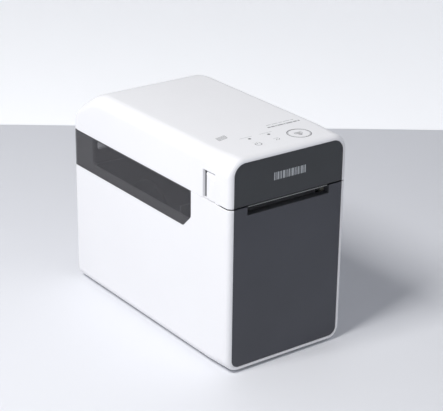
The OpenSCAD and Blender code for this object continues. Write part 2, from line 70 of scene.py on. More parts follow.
# ------------------------------------------------------------------ sizes, from the frame, in mm
HW = cad_hi[0] * 1000
YF, YR = cad_lo[1] * 1000, cad_hi[1] * 1000
ZT = cad_hi[2] * 1000
Z0 = B("rating_plate")[0][2]
ZB = B("window_left")[1][2]
ZL = B("lid_shell")[0][2]
PL_LO, PL_HI = B("front_panel_lower")
PU_LO, PU_HI = B("front_panel_upper")
WL_LO, WL_HI = B("window_left")
PT = 2.5
XI = HW - 2.5
BX = HW - 4.5
HY, HZ = YR - 3.7, (B("hinge_pins")[0][2] + B("hinge_pins")[1][2]) / 2
RP_LO, RP_HI = B("rear_panel")
EX_HW, EX_Z0 = 38.3, ZB - 7.1
FB_LO, FB_HI = B("feed_button")
PB_LO, PB_HI = B("power_button")
FX, FY = (FB_LO[0] + FB_HI[0]) / 2, (FB_LO[1] + FB_HI[1]) / 2
OX, OY = (PB_LO[0] + PB_HI[0]) / 2, (PB_LO[1] + PB_HI[1]) / 2
LP_LO, LP_HI = B("light_pipes")
LY = (LP_LO[1] + LP_HI[1]) / 2
LXS = (LP_LO[0] + 1.25, LP_HI[0] - 1.25)
TOP = ZT - 0.06          # visual top surface, so that the printed marks stay inside the frame's box
SLOPE_D, SLOPE_H = 32.5, 20.0
SH_LO, SH_HI = B("latch_shaft")
SH_Y, SH_Z = (SH_LO[1] + SH_HI[1]) / 2, (SH_LO[2] + SH_HI[2]) / 2


# ------------------------------------------------------------------ materials
def new_mat(name):
    m = bpy.data.materials.new(name)
    m.use_nodes = True
    nt = m.node_tree
    nt.nodes.clear()
    out = nt.nodes.new("ShaderNodeOutputMaterial")
    bs = nt.nodes.new("ShaderNodeBsdfPrincipled")
    nt.links.new(bs.outputs[0], out.inputs[0])
    co = nt.nodes.new("ShaderNodeTexCoord")
    return m, nt, bs, co


def noise(nt, co, scale, detail=4.0, rough=0.55, stretch=(1, 1, 1), dist=0.0):
    mp = nt.nodes.new("ShaderNodeMapping")
    mp.inputs["Scale"].default_value = stretch
    nt.links.new(co.outputs["Object"], mp.inputs["Vector"])
    n = nt.nodes.new("ShaderNodeTexNoise")
    n.inputs["Scale"].default_value = scale
    n.inputs["Detail"].default_value = detail
    n.inputs["Roughness"].default_value = rough
    n.inputs["Distortion"].default_value = dist
    nt.links.new(mp.outputs[0], n.inputs["Vector"])
    return n


def rng(nt, src, lo, hi, a=0.3, b=0.7):
    r = nt.nodes.new("ShaderNodeMapRange")
    r.inputs["From Min"].default_value = a
    r.inputs["From Max"].default_value = b
    r.inputs["To Min"].default_value = lo
    r.inputs["To Max"].default_value = hi
    nt.links.new(src, r.inputs["Value"])
    return r.outputs[0]


def ramp(nt, src, stops):
    r = nt.nodes.new("ShaderNodeValToRGB")
    e = r.color_ramp.elements
    while len(e) < len(stops):
        e.new(0.5)
    for k, (p, c) in enumerate(stops):
        e[k].position = p
        e[k].color = (*c, 1)
    nt.links.new(src, r.inputs[0])
    return r.outputs[0]


def tint(c, f):
    return tuple(max(0.0, min(1.0, v * f)) for v in c)


def bump(nt, bs, src, strength, dist):
    b = nt.nodes.new("ShaderNodeBump")
    b.inputs["Strength"].default_value = strength
    b.inputs["Distance"].default_value = dist
    nt.links.new(src, b.inputs["Height"])
    nt.links.new(b.outputs[0], bs.inputs["Normal"])
    return b


def plastic(name, col, rough=0.42, var=0.02, grain=5200, gstr=0.22, gdist=0.00004, broad=14, spec=0.5, coat=0.0, rv=0.05):
    """Moulded plastic: spark-eroded grain, slow colour drift, slightly uneven gloss."""
    m, nt, bs, co = new_mat(name)
    big = noise(nt, co, broad, 3.0)
    fine = noise(nt, co, grain, 2.0, 0.6)
    mid = noise(nt, co, grain / 12, 3.0, 0.5)
    c = ramp(nt, big.outputs[0], [(0.3, tint(col, 1 - var)), (0.7, tint(col, 1 + var))])
    nt.links.new(c, bs.inputs["Base Color"])
    nt.links.new(rng(nt, mid.outputs[0], rough - rv, rough + rv), bs.inputs["Roughness"])
    bs.inputs["Specular IOR Level"].default_value = spec
    bs.inputs["Coat Weight"].default_value = coat
    add = nt.nodes.new("ShaderNodeMath")
    add.operation = "ADD"
    nt.links.new(fine.outputs[0], add.inputs[0])
    nt.links.new(mid.outputs[0], add.inputs[1])
    bump(nt, bs, add.outputs[0], gstr, gdist)
    return m


def metal(name, col, rough=0.3, stretch=(1, 60, 60), scale=90, var=0.06, bstr=0.12, aniso=0.4):
    """Drawn, ground or rolled metal: fine lines along one axis and a slow stain."""
    m, nt, bs, co = new_mat(name)
    ln = noise(nt, co, scale, 5.0, 0.65, stretch)
    big = noise(nt, co, 25, 3.0)
    c = ramp(nt, big.outputs[0], [(0.3, tint(col, 1 - var)), (0.7, tint(col, 1 + var))])
    nt.links.new(c, bs.inputs["Base Color"])
    bs.inputs["Metallic"].default_value = 1.0
    bs.inputs["Anisotropic"].default_value = aniso
    nt.links.new(rng(nt, ln.outputs[0], rough - 0.08, rough + 0.12), bs.inputs["Roughness"])
    bump(nt, bs, ln.outputs[0], bstr, 0.00003)
    return m


def m_window():
    m, nt, bs, co = new_mat("window_smoke")
    big = noise(nt, co, 18, 2.0)
    c = ramp(nt, big.outputs[0], [(0.3, (0.027, 0.0262, 0.031)), (0.7, (0.033, 0.032, 0.037))])
    nt.links.new(c, bs.inputs["Base Color"])
    wav = noise(nt, co, 60, 2.0)
    nt.links.new(rng(nt, wav.outputs[0], 0.10, 0.16), bs.inputs["Roughness"])
    bs.inputs["Alpha"].default_value = 0.55
    bs.inputs["Specular IOR Level"].default_value = 0.5
    bump(nt, bs, wav.outputs[0], 0.015, 0.00004)
    return m


def m_rubber(name, col, rough=0.75):
    m, nt, bs, co = new_mat(name)
    a = noise(nt, co, 3000, 3.0, 0.7)
    b = noise(nt, co, 120, 3.0)
    c = ramp(nt, b.outputs[0], [(0.3, tint(col, 0.8)), (0.72, tint(col, 1.35))])
    nt.links.new(c, bs.inputs["Base Color"])
    nt.links.new(rng(nt, b.outputs[0], rough - 0.1, rough + 0.1), bs.inputs["Roughness"])
    bump(nt, bs, a.outputs[0], 0.35, 0.00006)
    return m


def m_board():
    """Solder mask over copper: tracks in straight runs, pads and vias."""
    m, nt, bs, co = new_mat("board_green")
    br = nt.nodes.new("ShaderNodeTexBrick")
    br.inputs["Scale"].default_value = 260
    br.inputs["Mortar Size"].default_value = 0.03
    br.inputs["Brick Width"].default_value = 1.6
    br.inputs["Row Height"].default_value = 0.42
    br.inputs["Color1"].default_value = (0, 0, 0, 1)
    br.inputs["Color2"].default_value = (0.25, 0.25, 0.25, 1)
    br.inputs["Mortar"].default_value = (1, 1, 1, 1)
    nt.links.new(co.outputs["Object"], br.inputs["Vector"])
    vo = nt.nodes.new("ShaderNodeTexVoronoi")
    vo.inputs["Scale"].default_value = 420
    nt.links.new(co.outputs["Object"], vo.inputs["Vector"])
    via = rng(nt, vo.outputs["Distance"], 1, 0, 0.10, 0.16)
    c1 = ramp(nt, br.outputs["Color"], [(0.1, (0.010, 0.085, 0.040)), (0.6, (0.030, 0.165, 0.075))])
    mx = nt.nodes.new("ShaderNodeMix")
    mx.data_type = "RGBA"
    nt.links.new(via, mx.inputs["Factor"])
    nt.links.new(c1, mx.inputs["A"])
    mx.inputs["B"].default_value = (0.45, 0.43, 0.36, 1)
    nt.links.new(mx.outputs["Result"], bs.inputs["Base Color"])
    nt.links.new(rng(nt, br.outputs["Fac"], 0.28, 0.38, 0, 1), bs.inputs["Roughness"])
    bump(nt, bs, br.outputs["Fac"], 0.4, 0.00005)
    return m


def m_ink(name, col):
    m, nt, bs, co = new_mat(name)
    a = noise(nt, co, 2600, 2.0)
    c = ramp(nt, a.outputs[0], [(0.3, tint(col, 0.9)), (0.7, tint(col, 1.1))])
    nt.links.new(c, bs.inputs["Base Color"])
    nt.links.new(rng(nt, a.outputs[0], 0.45, 0.6), bs.inputs["Roughness"])
    bump(nt, bs, a.outputs[0], 0.1, 0.00002)
    return m


def m_label():
    m, nt, bs, co = new_mat("label_stock")
    a = noise(nt, co, 900, 5.0, 0.7)
    b = noise(nt, co, 30, 2.0)
    c = ramp(nt, b.outputs[0], [(0.3, (0.66, 0.67, 0.68)), (0.7, (0.72, 0.73, 0.74))])
    nt.links.new(c, bs.inputs["Base Color"])
    nt.links.new(rng(nt, a.outputs[0], 0.5, 0.65), bs.inputs["Roughness"])
    bump(nt, bs, a.outputs[0], 0.15, 0.00003)
    return m


WHITE = (0.765, 0.765, 0.785)
M = {
    "case_white": plastic("case_white", WHITE, 0.44, 0.010, 4200, 0.16, 0.00005, 9),
    # case_inside: mid grey for the faces inside case and lid; on the deep slot behind each latch lever it serves as
    # painted shade
    "case_inside": plastic("case_inside", (0.40, 0.405, 0.42), 0.5, 0.03, 3200, 0.2, 0.00006, 12),
    # near-black plastic laid on the faces of seams, steps and the paper exit: painted shade
    "painted_gap_shade": plastic("painted_gap_shade", (0.050, 0.052, 0.060), 0.5, 0.05, 3200, 0.2, 0.00006, 12),
    "tear_steel": metal("tear_steel", (0.30, 0.31, 0.31), 0.42, (60, 1, 1), 70, 0.08, 0.12, 0.3),
    "panel_dark": plastic("panel_dark", (0.033, 0.0365, 0.0415), 0.38, 0.08, 5200, 0.18, 0.00005, 16, 0.45, rv=0.04),
    # a lighter copy of panel_dark for the lower front panel: the difference between the two panels is painted light
    "panel_dark_painted_light": plastic("panel_dark_painted_light", (0.0475, 0.050, 0.0625), 0.38, 0.07, 5200, 0.18, 0.00005, 16, 0.45, rv=0.04),
    "window_smoke": m_window(),
    "rubber": m_rubber("rubber", (0.022, 0.022, 0.024)),
    "platen_rubber": m_rubber("platen_rubber", (0.045, 0.045, 0.05), 0.62),
    "label_stock": m_label(),
    "steel": metal("steel", (0.58, 0.59, 0.61), 0.36, (60, 1, 1), 70, 0.08, 0.16, 0.3),
    "bright_steel": metal("bright_steel", (0.70, 0.71, 0.73), 0.22, (2, 70, 70), 60, 0.04, 0.10, 0.5),
    "screw_steel": metal("screw_steel", (0.55, 0.55, 0.57), 0.30, (1, 1, 1), 900, 0.06, 0.10, 0.2),
    "board_green": m_board(),
    "board_parts": plastic("board_parts", (0.022, 0.022, 0.026), 0.46, 0.2, 3000, 0.3, 0.00006, 200),
    "socket_black": plastic("socket_black", (0.018, 0.018, 0.020), 0.40, 0.15, 3200, 0.25, 0.00005, 90),
    "motor_body": metal("motor_body", (0.16, 0.16, 0.17), 0.38, (1, 40, 40), 60, 0.1, 0.12, 0.3),
    "bush_acetal": plastic("bush_acetal", (0.72, 0.70, 0.62), 0.40, 0.03, 2600, 0.12, 0.00004, 80),
    "gear_acetal": plastic("gear_acetal", (0.76, 0.76, 0.73), 0.36, 0.03, 2600, 0.12, 0.00004, 80),
    "inner_grey": plastic("inner_grey", (0.165, 0.170, 0.180), 0.46, 0.06, 3400, 0.28, 0.00006, 20),
    "bay_grey": plastic("bay_grey", (0.36, 0.37, 0.385), 0.46, 0.04, 3400, 0.26, 0.00006, 14),
    "guide_dark": plastic("guide_dark", (0.050, 0.052, 0.058), 0.42, 0.10, 3600, 0.26, 0.00006, 25),
    "clear_pipe": plastic("clear_pipe", (0.045, 0.048, 0.048), 0.30, 0.1, 2000, 0.05, 0.00002, 300, 0.35, 0.0),
    "ceramic": plastic("ceramic", (0.66, 0.62, 0.52), 0.22, 0.04, 1500, 0.06, 0.00002, 60, 0.6, 0.3),
    "heat_aluminium": metal("heat_aluminium", (0.66, 0.67, 0.69), 0.34, (1, 50, 50), 80, 0.06, 0.15, 0.4),
    "brass_pinion": metal("brass_pinion", (0.62, 0.46, 0.20), 0.30, (40, 1, 1), 120, 0.08, 0.12, 0.3),
    "ink_grey": m_ink("ink_grey", (0.10, 0.10, 0.108)),
    "ink_soft": m_ink("ink_soft", (0.21, 0.21, 0.22)),
    "ink_pale": m_ink("ink_pale", (0.40, 0.405, 0.42)),
    "ink_mid": m_ink("ink_mid", (0.30, 0.30, 0.31)),
    "ink_front": m_ink("ink_front", (0.40, 0.42, 0.44)),
    "lever_white": plastic("lever_white", WHITE, 0.44, 0.010, 4200, 0.16, 0.00005, 9),
}
SLOT = {p["node"]: p["material_slot"] for p in frame["record"]["subparts"]}
for n, o in N.items():
    s = SLOT[n]
    mat = M[{"platen_roller": "platen_rubber", "tear_bar": "tear_steel"}.get(n, s)]
    o.data.materials.clear()
    o.data.materials.append(mat)


# ------------------------------------------------------------------ mesh helpers
def mk(name, verts, faces, mat, smooth=None):
    me = bpy.data.meshes.new(name)
    me.from_pydata([(x * MM, y * MM, z * MM) for x, y, z in verts], [], faces)
    me.update()
    bm = bmesh.new()
    bm.from_mesh(me)
    bmesh.ops.remove_doubles(bm, verts=bm.verts, dist=2e-7)
    bmesh.ops.recalc_face_normals(bm, faces=bm.faces)
    bm.to_mesh(me)
    bm.free()
    if mat is not None:
        me.materials.append(M[mat])
    o = bpy.data.objects.new(name, me)
    COL.objects.link(o)
    return o


def bake(o):
    """Applies o's modifiers to its mesh."""
    dg = bpy.context.evaluated_depsgraph_get()
    dg.update()
    me = bpy.data.meshes.new_from_object(o.evaluated_get(dg), preserve_all_data_layers=True, depsgraph=dg)
    old = o.data
    o.modifiers.clear()
    o.data = me
    me.name = o.name
    if old.users == 0:
        bpy.data.meshes.remove(old)
    return o


def boolean(o, tool, op="DIFFERENCE", keep=False):
    m = o.modifiers.new("b", "BOOLEAN")
    m.operation, m.solver, m.object = op, "EXACT", tool
    bake(o)
    if not keep:
        bpy.data.objects.remove(tool)
    return o


def cut(o, *tools):
    for t in tools:
        boolean(o, t)
    return o


def cut_in(o, tool):
    """Cuts with the tool and leaves its material on the new faces."""
    m = o.modifiers.new("b", "BOOLEAN")
    m.operation, m.solver, m.object, m.material_mode = "DIFFERENCE", "EXACT", tool, "TRANSFER"
    bake(o)
    bpy.data.objects.remove(tool)
    return o


def add(o, *tools):
    for t in tools:
        boolean(o, t, "UNION")
    return o


def clean(o, dist=1e-6):
    bm = bmesh.new()
    bm.from_mesh(o.data)
    bmesh.ops.remove_doubles(bm, verts=bm.verts, dist=dist)
    bmesh.ops.dissolve_degenerate(bm, dist=dist, edges=bm.edges)
    bm.to_mesh(o.data)
    bm.free()
    return o


def shade(o, angle=32, wn=True):
    me = o.data
    me.polygons.foreach_set("use_smooth", [True] * len(me.polygons))
    me.set_sharp_from_angle(angle=math.radians(angle))
    if wn:
        w = o.modifiers.new("wn", "WEIGHTED_NORMAL")
        w.keep_sharp = True
        w.weight = 80
    me.update()
    return o


def soften(o, width=0.25, seg=2, angle=40, wn=True):
    """Rounds the sharp edges, then shades."""
    b = o.modifiers.new("bevel", "BEVEL")
    b.width, b.segments, b.limit_method, b.angle_limit = width * MM, seg, "ANGLE", math.radians(angle)
    b.use_clamp_overlap = True
    b.miter_outer = "MITER_ARC"
    bake(o)
    clean(o)
    return shade(o, 50, wn)


def finish_piece(o, body, slot=None, *repl):
    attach(o, body)
    if repl:
        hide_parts(*repl)
    return o


def boxm(name, a, b, mat=None):
    x0, y0, z0 = a
    x1, y1, z1 = b
    v = [(x0, y0, z0), (x1, y0, z0), (x1, y1, z0), (x0, y1, z0), (x0, y0, z1), (x1, y0, z1), (x1, y1, z1), (x0, y1, z1)]
    return mk(name, v, [(0, 3, 2, 1), (4, 5, 6, 7), (0, 1, 5, 4), (1, 2, 6, 5), (2, 3, 7, 6), (3, 0, 4, 7)], mat)


def prism(name, pts, a, b, axis, mat=None):
    """Outline pts extruded from a to b along axis. Axis x: pts are (y, z); y: (x, z); z: (x, y)."""
    def p(u, v, w):
        return {"x": (w, u, v), "y": (u, w, v), "z": (u, v, w)}[axis]
    n = len(pts)
    v = [p(*q, a) for q in pts] + [p(*q, b) for q in pts]
    f = [tuple(range(n - 1, -1, -1)), tuple(range(n, 2 * n))] + [(i, (i + 1) % n, n + (i + 1) % n, n + i) for i in range(n)]
    return mk(name, v, f, mat)


def arc(cx, cy, r, a0, a1, n):
    return [(cx + r * math.cos(math.radians(a0 + (a1 - a0) * i / n)), cy + r * math.sin(math.radians(a0 + (a1 - a0) * i / n))) for i in range(n + 1)]


def rrect(x0, y0, x1, y1, r, n=8):
    """r: one radius, or four: low left, low right, high right, high left."""
    r = [r] * 4 if not hasattr(r, "__len__") else r
    out = []
    for (cx, cy, a, q) in ((x0, y0, 180, r[0]), (x1, y0, 270, r[1]), (x1, y1, 0, r[2]), (x0, y1, 90, r[3])):
        sx, sy = (1 if cx == x0 else -1), (1 if cy == y0 else -1)
        if q <= 1e-6:
            out.append((cx, cy))
        else:
            out += arc(cx + sx * q, cy + sy * q, q, a, a + 90, n)
    return out


def cyl(name, r, c, a, b, axis, mat=None, n=48):
    return prism(name, [(c[0] + r * math.cos(2 * math.pi * i / n), c[1] + r * math.sin(2 * math.pi * i / n)) for i in range(n)], a, b, axis, mat)


def loft(name, rings, mat=None):
    """Closed solid through rings of equal length, capped at both ends."""
    n = len(rings[0])
    v = [p for r in rings for p in r]
    f = []
    for k in range(len(rings) - 1):
        for i in range(n):
            j = (i + 1) % n
            f.append((k * n + i, k * n + j, (k + 1) * n + j, (k + 1) * n + i))
    f.append(tuple(range(n - 1, -1, -1)))
    f.append(tuple(range((len(rings) - 1) * n, len(rings) * n)))
    return mk(name, v, f, mat)


def smoothstep(t):
    t = max(0.0, min(1.0, t))
    return t * t * (3 - 2 * t)


# ------------------------------------------------------------------ outer forms
FILL = 4.2          # depth of the front fillet
DX = 4.2            # how far it comes in at the sides


def case_ring(y, grow=0.0):
    """Cross-section of the lower case at y, as (x, y, z)."""
    t = max(0.0, min(1.0, 1 - (y - YF) / FILL))
    k = 1 - math.sqrt(max(0.0, 1 - t * t))
    tr = max(0.0, min(1.0, 1 - (YR - y) / 3.0))
    kr = 1 - math.sqrt(max(0.0, 1 - tr * tr))
    dx = DX * k + 3.0 * kr
    dz = 1.35 * k + 3.0 * kr
    rb = (8 + 2.6 * (1 - smoothstep((y - YF) / 30))) - 3.9 * k - 2.5 * kr
    h = HW - dx + grow
    zl = Z0 + dz - grow
    zt = ZB - 0.35 * smoothstep((-91 - y) / 7)
    lip = 0.4
    pts = []
    pts += [(-h + lip - lip * math.sin(math.radians(a)), zt - lip + lip * math.cos(math.radians(a))) for a in (0, 30, 60, 90)]
    pts += arc(-h + rb, zl + rb, rb, 180, 270, 12)
    pts += arc(h - rb, zl + rb, rb, 270, 360, 12)
    pts += [(h - lip + lip * math.sin(math.radians(a)), zt - lip + lip * math.cos(math.radians(a))) for a in (90, 60, 30, 0)]
    return [(x, y, z) for x, z in pts]


def ystations(r0, r1, mids, n0=9, n1=7):
    a = [YF + r0 * (1 - math.sin(math.radians(90 * (1 - i / n0)))) for i in range(n0 + 1)]
    b = [YR - r1 * (1 - math.sin(math.radians(90 * i / n1))) for i in range(n1 + 1)]
    return a + mids + b


A = math.atan2(SLOPE_H, SLOPE_D)
R1, R2 = 40.0, 14.0
T1, T2 = R1 * math.tan(A / 2), R2 * math.tan((math.pi / 2 - A) / 2)


def lid_top(y):
    """Height of the lid's top along its middle."""
    yc1, zc1 = YR - SLOPE_D - T1, TOP - R1
    ya = yc1 + R1 * math.sin(A)
    yc2, zc2 = YR - R2, ZT - SLOPE_H - T2
    yb = yc2 + R2 * math.sin(A)
    if y <= yc1:
        return TOP
    if y <= ya:
        return zc1 + math.sqrt(max(0, R1 * R1 - (y - yc1) ** 2))
    if y >= yb:
        return zc2 + math.sqrt(max(0, R2 * R2 - (min(y, YR) - yc2) ** 2))
    za = zc1 + R1 * math.cos(A)
    zb_ = zc2 + R2 * math.cos(A)
    return za + (zb_ - za) * (y - ya) / (yb - ya)


def lid_in(y, w=2.5):
    """Height of the inner face under the lid's top."""
    yc1, zc1 = YR - SLOPE_D - T1, TOP - R1
    yc2, zc2 = YR - R2, ZT - SLOPE_H - T2
    ya, yb = yc1 + (R1 - w) * math.sin(A), yc2 + (R2 - w) * math.sin(A)
    if y <= yc1:
        return TOP - w
    if y <= ya:
        return zc1 + math.sqrt(max(0, (R1 - w) ** 2 - (y - yc1) ** 2))
    if y >= yb:
        return zc2 + math.sqrt(max(0, (R2 - w) ** 2 - (y - yc2) ** 2))
    za, zb_ = zc1 + (R1 - w) * math.cos(A), zc2 + (R2 - w) * math.cos(A)
    return za + (zb_ - za) * (y - ya) / (yb - ya)


def lid_low(y):
    """Height of the lid's lower edge: the gap opens towards the front corners and round the hinge."""
    z = ZL - 0.34 + 0.66 * smoothstep((-90 - y) / 8)
    if y > HY - 1.5:
        z = max(z, HZ - math.sqrt(max(0.0, 3.7 ** 2 - (y - HY) ** 2)))
    return z


def lid_ring(y, grow=0.0):
    t = max(0.0, min(1.0, 1 - (y - YF) / FILL))
    k = 1 - math.sqrt(max(0.0, 1 - t * t))
    tr = max(0.0, min(1.0, 1 - (YR - y) / 3.5))
    kr = 1 - math.sqrt(max(0.0, 1 - tr * tr))
    dx = DX * k + 3.5 * kr
    zt = lid_top(y) - 3.7 * k
    zl = lid_low(y)
    rt = (10.0 + 3.4 * (1 - smoothstep((y - YF) / 36))) - 3.7 * k - 3.0 * kr
    rt = min(rt, (zt - zl) * 0.8)
    h = HW - dx + grow
    lip = 0.5
    pts = []
    pts += arc(h - rt, zt - rt, rt, 0, 90, 14)
    pts += arc(-h + rt, zt - rt, rt, 90, 180, 14)
    pts += [(-h + lip - lip * math.cos(math.radians(a)), zl + lip - lip * math.sin(math.radians(a))) for a in (0, 30, 60, 90)]
    pts += [(h - lip + lip * math.cos(math.radians(a)), zl + lip - lip * math.sin(math.radians(a))) for a in (90, 60, 30, 0)]
    return [(x, y, z) for x, z in pts]


def lid_stations():
    s = [YF + FILL * (1 - math.sin(math.radians(90 * (1 - i / 9)))) for i in range(10)]
    s += [-101, -98, -96, -94, -92, -90, -88, -86, -84, -78, -71, -60, -30, 10, 40]
    yc1 = YR - SLOPE_D - T1
    s += [yc1 + R1 * math.sin(A * i / 8) for i in range(9)]
    yc2 = YR - R2
    yb = yc2 + R2 * math.sin(A)
    s += [yb + (yc2 + R2 * math.sin(A + (math.pi / 2 - A) * i / 12) - yb) for i in range(13)]
    s += [HY - 1.5, HY, HY + 0.8, HY + 1.6, HY + 2.3, HY + 2.9, HY + 3.3, HY + 3.6, YR - 2.5, YR - 1.2, YR - 0.5]
    s = sorted(set(round(v, 4) for v in s))
    out = []
    for v in s:
        if not out or v - out[-1] > 0.03:
            out.append(v)
    out[-1] = YR
    return out


# ------------------------------------------------------------------ lower case
WG = 0.15


def win_outline(g=0.0, top=0.0, rear=5.0, r=1.6):
    """Window outline in (y, z); the lower front corner is cut at 45 degrees, with small rounds."""
    y0, z0_, c = WL_LO[1] - g, WL_LO[2] - g, 10 - g * 0.4
    pts = [(y0, ZB + top)]
    a = (y0, z0_ + c)
    b = (y0 + c, z0_)
    pts += [(a[0], a[1] + r * 0.8), (a[0] + 0.06 * r, a[1] + r * 0.3), (a[0] + 0.25 * r, a[1] - r * 0.16), (a[0] + r * 0.6, a[1] - r * 0.6)]
    pts += [(b[0] - r * 0.6, b[1] + r * 0.6), (b[0] - 0.16 * r + 0.0, b[1] + 0.25 * r), (b[0] + r * 0.3, b[1] + 0.06 * r), (b[0] + r * 0.8, b[1])]
    pts += [(YR + rear, z0_), (YR + rear, ZB + top)]
    return pts


def build_case():
    mids = [-102, -100, -98, -96, -94, -92, -90, -80, -60, -20, 20, 60, YR - 3.0 - 4]
    o = loft("case_shell", [case_ring(y) for y in ystations(FILL, 3.0, mids)], "case_white")
    # inner space, less the walls behind the windows
    cav = prism("cav", rrect(-XI, Z0 + 2.5, XI, ZB + 9, (5.5, 5.5, 0, 0), 6), YF + 5, YR - 2.5, "y")
    for s in (-1, 1):
        cut(cav, boxm("w", (min(s * BX, s * (XI + 2)), WL_LO[1] - 3, WL_LO[2] - 3), (max(s * BX, s * (XI + 2)), YR, ZB + 20)))
    # ledge that carries the base plate
    cut(cav, boxm("l1", (-60, YF + 3, Z0), (60, YF + 12, Z0 + 4)), boxm("l2", (-60, YR - 12, Z0), (60, YR, Z0 + 4)),
        boxm("l3", (-60, YF, Z0), (-44, YR, Z0 + 4)), boxm("l4", (44, YF, Z0), (60, YR, Z0 + 4)))
    cav.data.materials.append(M["case_inside"])
    cut_in(o, cav)
    cut(o, boxm("bp", (-46.2, YF + 9.3, Z0 - 1), (46.2, YR - 9.3, Z0 + 2.2)))
    cut(o, boxm("bp2", (-44, YF + 12, Z0 - 1), (44, YR - 12, Z0 + 6)))
    # rabbet in the front part of the rim; its faces take the near-black material as painted shade in the seam
    ys = [YF + 0.8 + 3.4 * (1 - math.sin(math.radians(90 * (1 - i / 6)))) for i in range(7)] + [-100, -96, -91.5]
    rings = []
    for y in ys:
        t = max(0.0, min(1.0, 1 - (y - 0.8 - YF) / FILL))
        h = HW - DX * (1 - math.sqrt(max(0.0, 1 - t * t))) - 0.8
        rings.append([(-h, y, ZB - 2.2), (h, y, ZB - 2.2), (h, y, ZB + 4), (-h, y, ZB + 4)])
    cut_in(o, loft("rb", rings, "painted_gap_shade"))
    # front: recess for the panel and the opening behind it
    cut(o, prism("fr", rrect(PL_LO[0] - 0.2, PL_LO[2] - 0.2, PL_HI[0] + 0.2, ZB + 9, (6.7, 6.7, 0, 0), 12), YF - 1, YF + PT + 0.2, "y"))
    cut(o, prism("fo", rrect(PL_LO[0] + 4, PL_LO[2] + 4, PL_HI[0] - 4, ZB + 9, (3, 3, 0, 0), 6), YF - 1, YF + 6, "y"))
    # windows
    for s in (-1, 1):
        x0, x1 = sorted((s * (HW - 2.1), s * (HW + 1)))
        cut(o, prism("wr", win_outline(WG, 9), x0, x1, "x"))
        x0, x1 = sorted((s * (BX - 1), s * HW))
        cut(o, prism("ws", rrect(WL_LO[1] + 2.2, WL_LO[2] + 5.5, YR - 25, ZB - 2.2, 4, 8), x0, x1, "x"))
    # rear
    cut(o, prism("rr", rrect(-46.42, 7.08, 46.42, RP_HI[2] - 1.98, 2.2, 6), YR - 3.5, YR + 1, "y"))
    # hinge knuckles
    for s in (-1, 1):
        x0, x1 = sorted((s * 38.4, s * 45.6))
        pts = arc(HY, HZ, 3.4, 0, 180, 20) + [(HY - 3.4, ZB - 8), (YR - 0.3, ZB - 8)]
        k = prism("kn", pts, x0, x1, "x", "case_white")
        cut(k, cyl("kb", 1.5, (HY, HZ), x0 - 1, x1 + 1, "x", None, 24))
        add(o, k)
    clean(o)
    shade(o, 30)
    return finish_piece(o, "base", "case_white", "lower_case")


